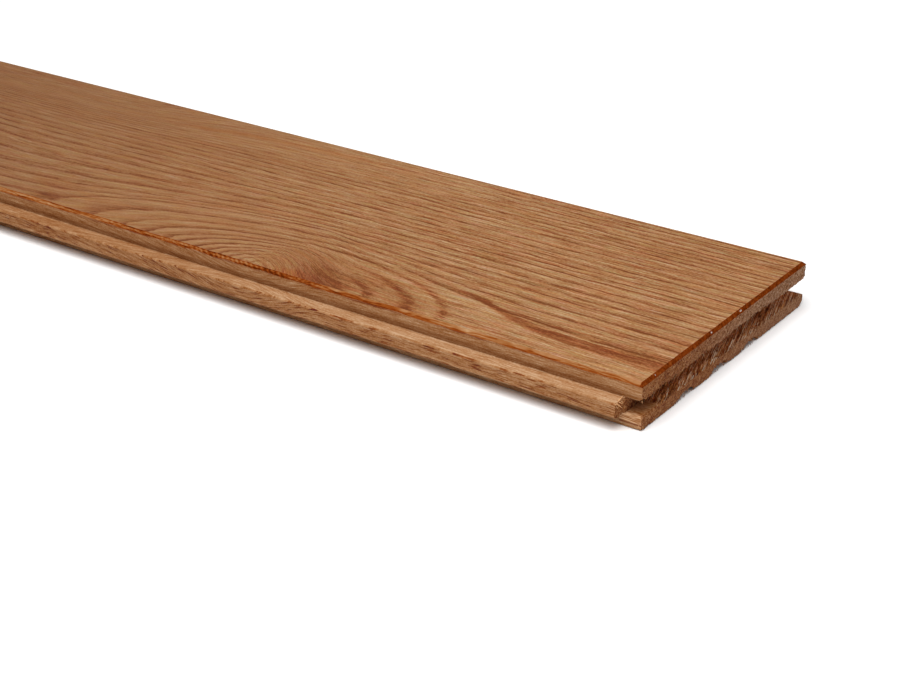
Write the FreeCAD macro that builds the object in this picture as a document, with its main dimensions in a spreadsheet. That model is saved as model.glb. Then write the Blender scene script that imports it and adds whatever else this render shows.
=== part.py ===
import FreeCAD, Part
import os

import Sketcher

# Wide plank floorboard: one solid length of tongue and groove hardwood, matched on its long
# edges and on its ends, with eased edges on the face and relief channels run in the underside.
#
# Millimetres, +Z up, the walked-on face on top. -Y is the long edge with the tongue and +Y the
# one with the groove. +X is the end with the groove and -X the one with the tongue. The origin
# is the middle of the underside, halfway between the outermost points along X and along Y.

NODE = "floorboard"

SIZES = (
    # The face that covers the floor, and the board's thickness.
    ("face_long", 1219.2),
    ("face_wide", 127.0),
    ("board_thick", 19.05),
    # The matching that runs round all four sides, at one height.
    ("upper_lip", 7.14),
    ("tongue_thick", 5.95),
    ("tongue_reach", 6.0),
    ("nose_round", 0.8),
    # How much the groove is wider and deeper than the tongue that it takes.
    ("side_gap", 0.2),
    ("nose_gap", 1.1),
    # The flared mouth of the long groove, and the eased lower lip of the end groove.
    ("flare_high", 0.9),
    ("flare_deep", 1.6),
    ("lip_ease", 0.5),
    # The eased edges of the face, and how far the wood under the tongue stands back from it.
    ("bevel_side", 1.3),
    ("bevel_end", 1.3),
    ("setback_side", 0.45),
    ("setback_end", 0.4),
    # The shallow undercut over the long tongue, where the nails go in.
    ("undercut_high", 2.5),
    ("undercut_deep", 0.5),
    # The eased corners of the underside, under the tongue and under the groove.
    ("heel_front", 0.6),
    ("heel_back", 2.0),
    # The relief channels, the first one measured from the face's edge over the tongue.
    ("channel_first", 32.5),
    ("channel_pitch", 25.0),
    ("channel_mouth", 11.5),
    ("channel_floor", 7.5),
    ("channel_deep", 1.9),
    ("channel_round", 1.5),
    # How far a cutter's outline runs past the wood that it takes away.
    ("overrun", 2.0),
)
CHANNEL_COUNT = ("channel_count", 3)

# Heights, worked out from the face down.
TOP = "Sizes.board_thick"
GROOVE_TOP = "Sizes.board_thick - Sizes.upper_lip"
TONGUE_TOP = f"{GROOVE_TOP} - Sizes.side_gap"
TONGUE_BOTTOM = f"{TONGUE_TOP} - Sizes.tongue_thick"
GROOVE_BOTTOM = f"{TONGUE_BOTTOM} - Sizes.side_gap"
UNDERSIDE = None
BELOW = "-Sizes.overrun"
ABOVE = f"{TOP} + Sizes.overrun"

# Places across the board. The tongue's nose and the groove's edge lie equally far out.
BACK = "(Sizes.face_wide + Sizes.tongue_reach) / 2"
NOSE = f"-{BACK}"
FRONT = f"{NOSE} + Sizes.tongue_reach"
LOWER_FRONT = f"{FRONT} + Sizes.setback_side"
LOWER_BACK = f"{BACK} - Sizes.setback_side"
MATCH_DEPTH = "(Sizes.tongue_reach + Sizes.nose_gap)"
GROOVE_FLOOR = f"{BACK} - {MATCH_DEPTH}"
CHANNEL = f"{FRONT} + Sizes.channel_first"

# Places along the board, the same way about.
NEAR_END = "(Sizes.face_long + Sizes.tongue_reach) / 2"
TIP = f"-{NEAR_END}"
FAR_END = f"{TIP} + Sizes.tongue_reach"
LOWER_NEAR = f"{NEAR_END} - Sizes.setback_end"
LOWER_FAR = f"{FAR_END} + Sizes.setback_end"
END_FLOOR = f"{NEAR_END} - {MATCH_DEPTH}"

# Parts of a sketch that every sketch has.
ORIGIN_POINT = (-1, 1)
FLAT_AXIS = -1
START = 1
END = 2


def fill_sheet(doc):
    """The sheet of driving sizes, one named number a row."""
    sheet = doc.addObject("Spreadsheet::Sheet", "Sizes")
    for row, (name, value) in enumerate((*SIZES, CHANNEL_COUNT), start=1):
        sheet.set(f"A{row}", name)
        sheet.set(f"B{row}", str(value))
        sheet.setAlias(f"B{row}", name)
    doc.recompute()
    return sheet


def new_sketch(body, name, plane):
    """An empty sketch on one of the body's own origin planes."""
    sketch = body.newObject("Sketcher::SketchObject", name)
    planes = {feature.Role: feature for feature in body.Origin.OriginFeatures}
    sketch.AttachmentSupport = [(planes[plane], "")]
    sketch.MapMode = "FlatFace"
    return sketch


def pin_corner(sketch, line, label, across, up):
    """Ties the start of a line to expressions for its two coordinates."""
    start = sketch.getPoint(line, START)
    width = Sketcher.Constraint("DistanceX", *ORIGIN_POINT, line, START, start.x)
    sketch.renameConstraint(sketch.addConstraint(width), f"{label}_across")
    sketch.setExpression(f"Constraints.{label}_across", across)
    if up is UNDERSIDE:
        sketch.addConstraint(Sketcher.Constraint("PointOnObject", line, START, FLAT_AXIS))
        return
    height = Sketcher.Constraint("DistanceY", *ORIGIN_POINT, line, START, start.y)
    sketch.renameConstraint(sketch.addConstraint(height), f"{label}_up")
    sketch.setExpression(f"Constraints.{label}_up", up)


def draw_outline(sketch, name, corners):
    """One closed outline of straight lines through corners given as pairs of expressions.

    The lines are laid round a circle first, and the constraints carry them to their places.
    """
    circle = Part.Circle(FreeCAD.Vector(0, 0, 0), FreeCAD.Vector(0, 0, 1), len(corners))
    start = circle.FirstParameter
    step = (circle.LastParameter - start) / len(corners)
    rough = [circle.value(start + (index + 0.5) * step) for index in range(len(corners))]
    lines = []
    for index, point in enumerate(rough):
        following = rough[(index + 1) % len(rough)]
        lines.append(sketch.addGeometry(Part.LineSegment(point, following), False))
    for index, line in enumerate(lines):
        following = lines[(index + 1) % len(lines)]
        sketch.addConstraint(Sketcher.Constraint("Coincident", line, END, following, START))
    for index, (line, (across, up)) in enumerate(zip(lines, corners), start=1):
        pin_corner(sketch, line, f"{name}_{index}", across, up)


def cut_through(doc, body, name, sketch):
    """Cuts a sketch's outlines right through the board, both ways, and proves that it cut."""
    before = body.Shape.Volume
    pocket = body.newObject("PartDesign::Pocket", name)
    pocket.Profile = sketch
    pocket.Type = "ThroughAll"
    pocket.SideType = "Symmetric"
    body.Tip = pocket
    doc.recompute()
    if not body.Shape.Volume < before:
        raise RuntimeError(f"{name} takes nothing away")
    return pocket


def round_edges(doc, body, name, radius, wanted):
    """Rounds each edge of the body so far that the test picks."""
    base = body.Tip
    picked = [f"Edge{number}" for number, edge in enumerate(base.Shape.Edges, start=1) if wanted(edge)]
    if not picked:
        raise RuntimeError(f"{name} finds no edge")
    fillet = body.newObject("PartDesign::Fillet", name)
    fillet.Base = (base, picked)
    fillet.setExpression("Radius", radius)
    body.Tip = fillet
    doc.recompute()


def run_long_section(doc, body):
    """The section that the moulder leaves, full length: bevels, tongue, heels and groove."""
    section = new_sketch(body, "long_section", "YZ_Plane")
    draw_outline(section, "section", (
        (f"{FRONT} + Sizes.bevel_side", TOP),
        (FRONT, f"{TOP} - Sizes.bevel_side"),
        (FRONT, f"{TONGUE_TOP} + Sizes.undercut_high"),
        (f"{FRONT} + Sizes.undercut_deep", TONGUE_TOP),
        (NOSE, TONGUE_TOP),
        (NOSE, TONGUE_BOTTOM),
        (LOWER_FRONT, TONGUE_BOTTOM),
        (LOWER_FRONT, "Sizes.heel_front"),
        (f"{LOWER_FRONT} + Sizes.heel_front", UNDERSIDE),
        (f"{LOWER_BACK} - Sizes.heel_back", UNDERSIDE),
        (LOWER_BACK, "Sizes.heel_back"),
        (LOWER_BACK, f"{GROOVE_BOTTOM} - Sizes.flare_high"),
        (f"{LOWER_BACK} - Sizes.flare_deep", GROOVE_BOTTOM),
        (GROOVE_FLOOR, GROOVE_BOTTOM),
        (GROOVE_FLOOR, GROOVE_TOP),
        (f"{BACK} - Sizes.flare_deep", GROOVE_TOP),
        (BACK, f"{GROOVE_TOP} + Sizes.flare_high"),
        (BACK, f"{TOP} - Sizes.bevel_side"),
        (f"{BACK} - Sizes.bevel_side", TOP),
    ))
    plank = body.newObject("PartDesign::Pad", "plank")
    plank.Profile = section
    plank.SideType = "Symmetric"
    plank.setExpression("Length", "Sizes.face_long + Sizes.tongue_reach")
    body.Tip = plank
    doc.recompute()


def run_relief_channels(doc, body):
    """The shallow channels along the underside, which let the board sit flat."""
    section = new_sketch(body, "channel_section", "YZ_Plane")
    draw_outline(section, "channel", (
        (f"{CHANNEL} - Sizes.channel_mouth / 2", BELOW),
        (f"{CHANNEL} - Sizes.channel_mouth / 2", UNDERSIDE),
        (f"{CHANNEL} - Sizes.channel_floor / 2", "Sizes.channel_deep"),
        (f"{CHANNEL} + Sizes.channel_floor / 2", "Sizes.channel_deep"),
        (f"{CHANNEL} + Sizes.channel_mouth / 2", UNDERSIDE),
        (f"{CHANNEL} + Sizes.channel_mouth / 2", BELOW),
    ))
    channel = cut_through(doc, body, "relief_channel", section)
    one_channel = body.Shape.Volume
    row = body.newObject("PartDesign::LinearPattern", "relief_channels")
    row.Originals = [channel]
    row.Direction = (section, ["H_Axis"])
    row.setExpression("Length", "(Sizes.channel_count - 1) * Sizes.channel_pitch")
    row.setExpression("Occurrences", "Sizes.channel_count")
    body.Tip = row
    doc.recompute()
    if not body.Shape.Volume < one_channel:
        raise RuntimeError("the row of channels points off the board")


def match_near_end(doc, body):
    """The end groove, cut across the long tongue too, and the set-back wood below it."""
    section = new_sketch(body, "end_groove_section", "XZ_Plane")
    draw_outline(section, "groove", (
        (END_FLOOR, GROOVE_TOP),
        (END_FLOOR, GROOVE_BOTTOM),
        (f"{LOWER_NEAR} - Sizes.lip_ease", GROOVE_BOTTOM),
        (LOWER_NEAR, f"{GROOVE_BOTTOM} - Sizes.lip_ease"),
        (LOWER_NEAR, BELOW),
        (f"{NEAR_END} + Sizes.overrun", BELOW),
        (f"{NEAR_END} + Sizes.overrun", GROOVE_TOP),
    ))
    cut_through(doc, body, "end_groove", section)


def match_far_end(doc, body):
    """The end tongue, left standing between the wood cut off above it and below it."""
    section = new_sketch(body, "end_tongue_section", "XZ_Plane")
    draw_outline(section, "over", (
        (FAR_END, ABOVE),
        (FAR_END, TONGUE_TOP),
        (f"{TIP} - Sizes.overrun", TONGUE_TOP),
        (f"{TIP} - Sizes.overrun", ABOVE),
    ))
    draw_outline(section, "under", (
        (LOWER_FAR, TONGUE_BOTTOM),
        (LOWER_FAR, BELOW),
        (f"{TIP} - Sizes.overrun", BELOW),
        (f"{TIP} - Sizes.overrun", TONGUE_BOTTOM),
    ))
    cut_through(doc, body, "end_tongue", section)


def bevel_ends(doc, body):
    """The eased edges of the face at the two ends."""
    section = new_sketch(body, "end_bevel_section", "XZ_Plane")
    reach = "(Sizes.bevel_end + Sizes.overrun)"
    draw_outline(section, "near", (
        (f"{NEAR_END} - {reach}", ABOVE),
        (f"{NEAR_END} + Sizes.overrun", f"{TOP} - {reach}"),
        (f"{NEAR_END} + Sizes.overrun", ABOVE),
    ))
    draw_outline(section, "far", (
        (f"{FAR_END} + {reach}", ABOVE),
        (f"{FAR_END} - Sizes.overrun", ABOVE),
        (f"{FAR_END} - Sizes.overrun", f"{TOP} - {reach}"),
    ))
    cut_through(doc, body, "end_bevels", section)


def runs_along(edge, direction):
    """Whether a straight edge lies along a direction, either way about."""
    ends = [vertex.Point for vertex in edge.Vertexes]
    return len(ends) == 2 and (ends[1] - ends[0]).cross(direction).Length < 1e-6


def round_noses(doc, body):
    """The rounded noses of the long tongue and the end tongue."""
    box = body.Shape.BoundBox
    along, across = FreeCAD.Vector(1, 0, 0), FreeCAD.Vector(0, 1, 0)

    def on_a_nose(edge):
        long_nose = runs_along(edge, along) and abs(edge.BoundBox.YMax - box.YMin) < 1e-3
        end_nose = runs_along(edge, across) and abs(edge.BoundBox.XMax - box.XMin) < 1e-3
        return long_nose or end_nose

    round_edges(doc, body, "nose_rounds", "Sizes.nose_round", on_a_nose)


def round_channels(doc, body, sheet):
    """The rounded corners at the bottom of each relief channel."""
    along = FreeCAD.Vector(1, 0, 0)
    depth = sheet.get("channel_deep")

    def in_a_channel(edge):
        flat = abs(edge.BoundBox.ZMin - depth) < 1e-3 and abs(edge.BoundBox.ZMax - depth) < 1e-3
        return flat and runs_along(edge, along)

    round_edges(doc, body, "channel_rounds", "Sizes.channel_round", in_a_channel)


def build_board(doc, sheet):
    """The whole board as one body."""
    body = doc.addObject("PartDesign::Body", NODE)
    body.Label = NODE
    run_long_section(doc, body)
    run_relief_channels(doc, body)
    round_channels(doc, body, sheet)
    match_near_end(doc, body)
    match_far_end(doc, body)
    bevel_ends(doc, body)
    round_noses(doc, body)
    return body


def check_document(doc, parts):
    """Stops the script where any object failed or a part is not one sound solid."""
    for item in doc.Objects:
        if "Invalid" in item.State or "Error" in item.State:
            raise RuntimeError(f"{item.Name} failed: {item.State}")
    for part in parts:
        if part.Shape.isNull() or not part.Shape.isValid():
            raise RuntimeError(f"{part.Label} has no sound shape")
        if len(part.Shape.Solids) != 1:
            raise RuntimeError(f"{part.Label} is not one solid")


def main():
    doc = FreeCAD.newDocument("plank")
    sheet = fill_sheet(doc)
    board = build_board(doc, sheet)
    check_document(doc, [board])
    os.makedirs("parts", exist_ok=True)
    board.Shape.exportStep(f"parts/{board.Label}.step")
    box = board.Shape.BoundBox
    print(f"{board.Label}: {box.XLength:.2f} by {box.YLength:.2f} by {box.ZLength:.2f} mm")
    print(f"volume {board.Shape.Volume / 1e9:.6f} cubic metres")


main()
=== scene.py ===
"""Looks of a wide plank floorboard: prefinished red oak, satin on its face and bare wood everywhere else.

Lengths in the shaders are millimetres from the face's corner at the grooved end and the tongued edge:
along is 0 there and negative towards the other end, across grows towards the grooved edge, and depth is
0 on the face and negative below it.
"""

import math
import random

import bpy
from mathutils import Euler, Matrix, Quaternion, Vector


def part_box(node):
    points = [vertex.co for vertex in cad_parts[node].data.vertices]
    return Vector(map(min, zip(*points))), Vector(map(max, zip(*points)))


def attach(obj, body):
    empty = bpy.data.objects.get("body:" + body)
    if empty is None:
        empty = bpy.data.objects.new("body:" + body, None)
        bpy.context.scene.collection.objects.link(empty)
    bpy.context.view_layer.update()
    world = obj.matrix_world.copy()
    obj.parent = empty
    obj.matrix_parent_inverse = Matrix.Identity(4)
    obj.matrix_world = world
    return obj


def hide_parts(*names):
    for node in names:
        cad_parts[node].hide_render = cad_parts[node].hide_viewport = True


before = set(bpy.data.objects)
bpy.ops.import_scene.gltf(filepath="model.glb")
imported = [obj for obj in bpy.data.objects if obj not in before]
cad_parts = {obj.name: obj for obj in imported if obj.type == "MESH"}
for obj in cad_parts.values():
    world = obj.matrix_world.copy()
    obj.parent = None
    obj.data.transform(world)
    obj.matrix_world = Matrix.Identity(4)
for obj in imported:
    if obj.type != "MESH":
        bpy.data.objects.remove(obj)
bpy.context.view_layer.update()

MM = 0.001
BODY = "root"
NODE = "floorboard"

# Sizes of the board, read from its box and its tongue's reach
LOW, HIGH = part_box(NODE)
TONGUE_REACH = 6.0 * MM
BEVEL = 1.3 * MM
NEAR_END = HIGH.x
FRONT = LOW.y + TONGUE_REACH
FACE = HIGH.z
THICK = 19.05
UPPER_LIP = 7.14
LOWER_LIP = 13.49
GROOVE_DEPTH = 7.1
CHANNELS = (32.5, 57.5, 82.5)
FAR_BEVEL = -1217.9

# Torn fibres: stretches of the end groove with how many stand in each, and how many are elsewhere
FIBRE_SEED = 7
FRAYED = ((12.0, 36.0, 44), (37.0, 56.0, 30), (56.0, 78.0, 28), (78.0, 98.0, 24), (98.0, 112.0, 8))
HANGING = 60
CHANNEL_FRAYS = 24
FUZZ = 120

# Splinters at the end of the long tongue and at the lips' corners: root, direction, length and thickness
SPLINTERS = (
    ((-7.7, -5.8, -7.9), (0.0, 1.0, 0.2), 6.2, 0.55),
    ((-8.0, -4.6, -7.6), (1.0, 0.0, -0.4), 3.0, 0.6),
    ((-8.0, -3.4, -7.6), (1.0, 0.1, -0.15), 2.2, 0.45),
    ((-7.8, -5.5, -7.8), (1.0, 0.2, 0.1), 1.3, 0.4),
    ((-7.9, -5.2, -8.2), (1.0, 0.1, -0.8), 1.6, 0.35),
    ((-7.8, -2.0, -7.7), (1.0, 0.3, -0.6), 1.5, 0.35),
    ((-7.8, -1.0, -7.6), (1.0, 0.5, 0.0), 1.2, 0.3),
    ((-0.5, 0.5, -6.9), (0.1, 0.3, -1.0), 1.1, 0.3),
    ((-0.9, 1.3, -6.9), (0.0, -0.3, -1.0), 0.9, 0.25),
    ((-1.7, 0.9, -6.8), (0.2, -0.2, -1.0), 0.7, 0.2),
    ((-1.6, 0.5, -16.9), (1.0, 0.1, -0.5), 1.3, 0.4),
    ((-2.2, 0.6, -17.6), (1.0, 0.1, -0.2), 1.8, 0.4),
)

# Flakes of lacquer along the end bevel: place across, length, and turn in degrees
CHIPS = ((72.5, 1.7, 12.0), (50.3, 1.1, -15.0), (9.5, 0.4, 10.0))
CHIP_PLACE = (-0.7, -0.62)

# Marks of the cutter that milled the end groove
CUTTER_SLANT = -17.0
CUTTER_RUN = -3.1

# How finely the board is cut before it is roughened
SEEN_LENGTH = 0.52
SEEN_STEP = 2.5 * MM
FAR_STEP = 9.0 * MM
END_REACH = 10.0 * MM
END_ROW = 0.55 * MM
END_COLUMN = 0.7 * MM
END_CUTS = (0.5, 1.1, 1.8, 2.6, 3.4, 4.3, 5.2, 6.1, 6.7)

# The photo's viewpoint, in metres and degrees, found by fitting the board's straight edges
LENS = 71.8
SENSOR = 36.0
VIEWPOINT = (0.88243, -0.53961, 0.30808)
VIEW_AZIMUTH = 36.362
VIEW_ELEVATION = 26.707
VIEW_ROLL = -0.851

# The studio: light from all round, a wide soft light from above and a softbox near the grooved end
AIR_LIGHT = 0.25
KEY_LIGHT = 2.75
KEY_SPREAD = 60.0
KEY_WAY = (0.12, 0.35, -1.0)
SOFTBOX_PLACE = (0.75, -0.25, 0.7)
SOFTBOX_TARGET = (0.55, 0.0, 0.0)
SOFTBOX_SIZE = (0.7, 0.7)
SOFTBOX_LIGHT = 3.0
FLOOR_SIZE = 80.0

# How much light the studio throws on the face near its grooved end, and how much of it the satin throws back
STUDIO_LIGHT = 1.3
SHEEN = 0.026


def paint(red, green, blue, sheen=SHEEN):
    """A colour as it looks under the studio's light, from 0 to 255, turned into what a shader takes."""
    def share(value):
        value = value / 255
        if value <= 0.04045:
            return value / 12.92
        return ((value + 0.055) / 1.055) ** 2.4
    return tuple(max(share(value) - sheen, 0.0) / STUDIO_LIGHT for value in (red, green, blue)) + (1.0,)


class Bench:
    """A node tree under construction. Every call adds nodes and gives back what comes out of them."""

    def __init__(self, tree):
        self.tree = tree

    def feed(self, socket, value):
        if isinstance(value, bpy.types.NodeSocket):
            self.tree.links.new(value, socket)
        else:
            socket.default_value = value

    def node(self, kind, **settings):
        made = self.tree.nodes.new(kind)
        for name, value in settings.items():
            setattr(made, name, value)
        return made

    def calc(self, operation, *values):
        made = self.node("ShaderNodeMath", operation=operation)
        for socket, value in zip(made.inputs, values):
            self.feed(socket, value)
        return made.outputs[0]

    def add(self, *values):
        total = values[0]
        for value in values[1:]:
            total = self.calc("ADD", total, value)
        return total

    def times(self, *values):
        product = values[0]
        for value in values[1:]:
            product = self.calc("MULTIPLY", product, value)
        return product

    def minus(self, a, b):
        return self.calc("SUBTRACT", a, b)

    def swing(self, value, *shares):
        """How far a noise is above or below its middle, times each share."""
        return self.times(self.minus(value, 0.5), *shares)

    def rise(self, value, start, end):
        """0 at start, 1 at end, smooth between them. It falls where start is the larger."""
        made = self.node("ShaderNodeMapRange", interpolation_type="SMOOTHSTEP")
        self.feed(made.inputs["Value"], value)
        made.inputs["From Min"].default_value = start
        made.inputs["From Max"].default_value = end
        return made.outputs["Result"]

    def between(self, value, low, high, soft):
        """1 between low and high and 0 outside, with soft edges."""
        start = self.rise(value, low - soft, low + soft)
        return self.times(start, self.rise(value, high + soft, high - soft))

    def hill(self, value, top, reach):
        """A bell curve round top that has fallen to a third at reach."""
        away = self.times(self.minus(value, top), 1 / reach)
        return self.calc("EXPONENT", self.times(away, away, -1.0))

    def where(self, x, y, z):
        made = self.node("ShaderNodeCombineXYZ")
        for socket, value in zip(made.inputs, (x, y, z)):
            self.feed(socket, value)
        return made.outputs[0]

    def noise(self, place, scale=1.0, detail=2.0, rough=0.5, seed=0.0):
        made = self.node("ShaderNodeTexNoise", noise_dimensions="4D")
        self.feed(made.inputs["Vector"], place)
        made.inputs["W"].default_value = seed
        made.inputs["Scale"].default_value = scale
        made.inputs["Detail"].default_value = detail
        made.inputs["Roughness"].default_value = rough
        made.inputs["Lacunarity"].default_value = 2.0
        return made.outputs["Fac"]

    def chance(self, value, seed=0.0):
        """A number from 0 to 1 that belongs to each whole number."""
        made = self.node("ShaderNodeTexWhiteNoise", noise_dimensions="2D")
        self.feed(made.inputs["Vector"], self.where(value, seed, 0.0))
        return made.outputs["Value"]

    def curve(self, value, points):
        """A line through points, both ways from 0 to 1."""
        made = self.node("ShaderNodeFloatCurve")
        self.feed(made.inputs["Value"], value)
        line = made.mapping.curves[0]
        for point in points[1:-1]:
            line.points.new(*point)
        line.points[0].location = points[0]
        line.points[-1].location = points[-1]
        made.mapping.update()
        return made.outputs["Value"]

    def mix(self, share, a, b, blend="MIX"):
        made = self.node("ShaderNodeMixRGB", blend_type=blend)
        for socket, value in zip(made.inputs, (share, a, b)):
            self.feed(socket, value)
        return made.outputs["Color"]

    def ramp(self, value, stops):
        """Colours laid out along a value from 0 to 1."""
        made = self.node("ShaderNodeValToRGB")
        self.feed(made.inputs["Fac"], value)
        band = made.color_ramp
        for place, colour in stops[1:-1]:
            band.elements.new(place).color = colour
        for end, (place, colour) in ((0, stops[0]), (-1, stops[-1])):
            band.elements[end].position = place
            band.elements[end].color = colour
        return made.outputs["Color"]

    def shade(self, colour, factor):
        """A colour made lighter or darker by a factor."""
        made = self.node("ShaderNodeVectorMath", operation="SCALE")
        self.feed(made.inputs[0], colour)
        self.feed(made.inputs["Scale"], factor)
        return made.outputs[0]


# Growth of the tree through the board

SWIRL_HEIGHT = 69.0
SWIRL_CENTRE = -164.0
SWIRL_LEFT = 52.0
SWIRL_RIGHT = 42.0
SWIRL_DEPTH = 29.5
SWIRL_SQUARE = 2.8
DROP_HEIGHT = 36.0
DROP_CENTRE = -231.0
DROP_REACH = 35.0
DROP_DEPTH = 49.0
SWELL_HEIGHT = 26.0
SWELL_CENTRE = (-318.0, 118.0)
SWELL_REACH = (24.0, 24.0)
OVAL_HEIGHT = 52.0
OVAL_CENTRE = (-860.0, 66.0)
OVAL_REACH = (190.0, 46.0)
KNOT_CENTRE = -157.0
KNOT_LEFT = (75.0, 29.0, 0.72)
KNOT_RIGHT = 2.34
KNOT_EDGE = (35.0, 31.0)
KNOT_TRAIL = 14.0
RING_LEAN = 1.2

# Which year lies where: by height above the front edge at the grooved end, and by distance from the knot
FIELD_SPAN = (-80.0, 150.0)
KNOT_SPAN = (0.0, 52.0)
RING_SPAN = (-15.0, 34.0)
YEARS = (
    (-80, -0.6), (-9, -0.3), (8, -0.22), (12, -0.2), (18, 0), (27, 1), (34.5, 2), (41.5, 3), (51.5, 5),
    (57, 6), (63, 7), (70.5, 9), (78, 11), (83, 12), (94, 15), (104, 18), (113.5, 21), (121, 23), (150, 33),
)
KNOT_YEARS_LEFT = (
    (0, -14), (12, -9.6), (15, -8), (17, -7), (18.8, -6), (20.7, -5), (22.6, -4), (25.3, -3), (27.4, -2),
    (30.8, -1), (34.6, 0), (39.7, 1), (46, 2), (52, 3),
)
KNOT_YEARS_RIGHT = (
    (0, -4.6), (6, -4.3), (14.2, -3), (18, -2.5), (22.2, -2), (29, -1), (34, 0), (39.6, 1), (45, 2.1),
    (52, 3.6),
)


def years(bench, value, span, marks):
    """The year at a value, by marks that pair values with years."""
    share = bench.times(bench.minus(value, span[0]), 1 / (span[1] - span[0]))
    tall = RING_SPAN[1] - RING_SPAN[0]
    points = [((at - span[0]) / (span[1] - span[0]), (year - RING_SPAN[0]) / tall) for at, year in marks]
    return bench.add(bench.times(bench.curve(share, points), tall), RING_SPAN[0])


def oak_growth():
    """A group of nodes that says where a point is, how the wood runs there and which year it grew in."""
    group = bpy.data.node_groups.new("oak growth", "ShaderNodeTree")
    for name in ("Along", "Across", "Depth", "Level", "Fibre", "Ring", "Knot"):
        group.interface.new_socket(name, in_out="OUTPUT", socket_type="NodeSocketFloat")
    bench = Bench(group)
    spot = bench.node("ShaderNodeTexCoord").outputs["Object"]
    axes = bench.node("ShaderNodeSeparateXYZ")
    bench.feed(axes.inputs[0], spot)
    along = bench.times(bench.minus(axes.outputs["X"], NEAR_END), 1 / MM)
    across = bench.times(bench.minus(axes.outputs["Y"], FRONT), 1 / MM)
    depth = bench.times(bench.minus(axes.outputs["Z"], FACE), 1 / MM)

    # Rings lean as they go down, so what lies deeper belongs further back on the face
    level = bench.minus(across, bench.times(depth, RING_LEAN))
    behind = bench.calc("MAXIMUM", level, 0.0)

    # The years bend round a branch that comes out through the front edge
    aside = bench.minus(along, SWIRL_CENTRE)
    left = bench.calc("MAXIMUM", bench.times(aside, -1 / SWIRL_LEFT), 0.0)
    right = bench.calc("MAXIMUM", bench.times(aside, 1 / SWIRL_RIGHT), 0.0)
    far = bench.calc("POWER", bench.add(left, right), SWIRL_SQUARE)
    crown = bench.calc("DIVIDE", SWIRL_HEIGHT, bench.add(far, 1.0))
    swirl = bench.times(crown, bench.hill(behind, 0.0, SWIRL_DEPTH))

    # Beyond it they come back lower, and further on they close round one long oval
    slope = bench.times(bench.minus(along, DROP_CENTRE), 1 / DROP_REACH)
    step = bench.calc("DIVIDE", DROP_HEIGHT, bench.add(bench.calc("EXPONENT", slope), 1.0))
    drop = bench.times(step, bench.hill(level, 0.0, DROP_DEPTH))
    climb = bench.times(bench.minus(along, SWELL_CENTRE[0]), 1 / SWELL_REACH[0])
    swell = bench.times(
        bench.calc("DIVIDE", SWELL_HEIGHT, bench.add(bench.calc("EXPONENT", climb), 1.0)),
        bench.hill(level, SWELL_CENTRE[1], SWELL_REACH[1]),
    )
    oval = bench.times(
        bench.hill(along, OVAL_CENTRE[0], OVAL_REACH[0]),
        bench.hill(level, OVAL_CENTRE[1], OVAL_REACH[1]),
        -OVAL_HEIGHT,
    )

    # No line is drawn with a ruler
    wander = bench.noise(bench.where(bench.times(along, 0.012), bench.times(level, 0.03), 0.0), seed=3.0)
    quiver = bench.noise(bench.where(bench.times(along, 0.09), bench.times(level, 0.25), 0.0), seed=5.0)
    restless = bench.add(1.2, bench.times(bench.rise(along, -300.0, -130.0), 0.8))
    unruly = bench.add(bench.swing(wander, 2.4), bench.swing(quiver, restless))
    straight = bench.add(level, drop, swell, oval, unruly)
    field = bench.minus(straight, swirl)

    # Fibres bend less than the years do, and least to the right of the knot
    bent = bench.minus(0.75, bench.times(bench.rise(along, -192.0, -140.0), 0.62))
    fibre = bench.minus(straight, bench.times(swirl, bent))

    # Close to the knot the years are rings round it
    away = bench.minus(along, KNOT_CENTRE)
    leftward = bench.calc("MAXIMUM", bench.times(away, -1 / KNOT_LEFT[0]), 0.0)
    wide = bench.add(
        bench.times(bench.calc("POWER", leftward, KNOT_LEFT[2]), KNOT_LEFT[1]),
        bench.calc("MAXIMUM", bench.times(away, 1 / KNOT_RIGHT), 0.0),
    )
    distance = bench.calc("SQRT", bench.add(bench.times(wide, wide), bench.times(behind, behind)))
    radius = bench.add(distance, unruly)
    trail = bench.times(bench.rise(away, 20.0, -25.0), KNOT_TRAIL)
    close = bench.rise(bench.minus(distance, trail), *KNOT_EDGE)
    plain = years(bench, field, FIELD_SPAN, YEARS)
    beside = bench.rise(away, -22.0, 4.0)
    round_knot = bench.add(
        bench.times(years(bench, radius, KNOT_SPAN, KNOT_YEARS_LEFT), bench.minus(1.0, beside)),
        bench.times(years(bench, radius, KNOT_SPAN, KNOT_YEARS_RIGHT), beside),
    )
    ring = bench.add(bench.times(plain, bench.minus(1.0, close)), bench.times(round_knot, close))
    out = bench.node("NodeGroupOutput")
    for socket, value in zip(out.inputs, (along, across, depth, level, fibre, ring, distance)):
        bench.feed(socket, value)
    return group


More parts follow.
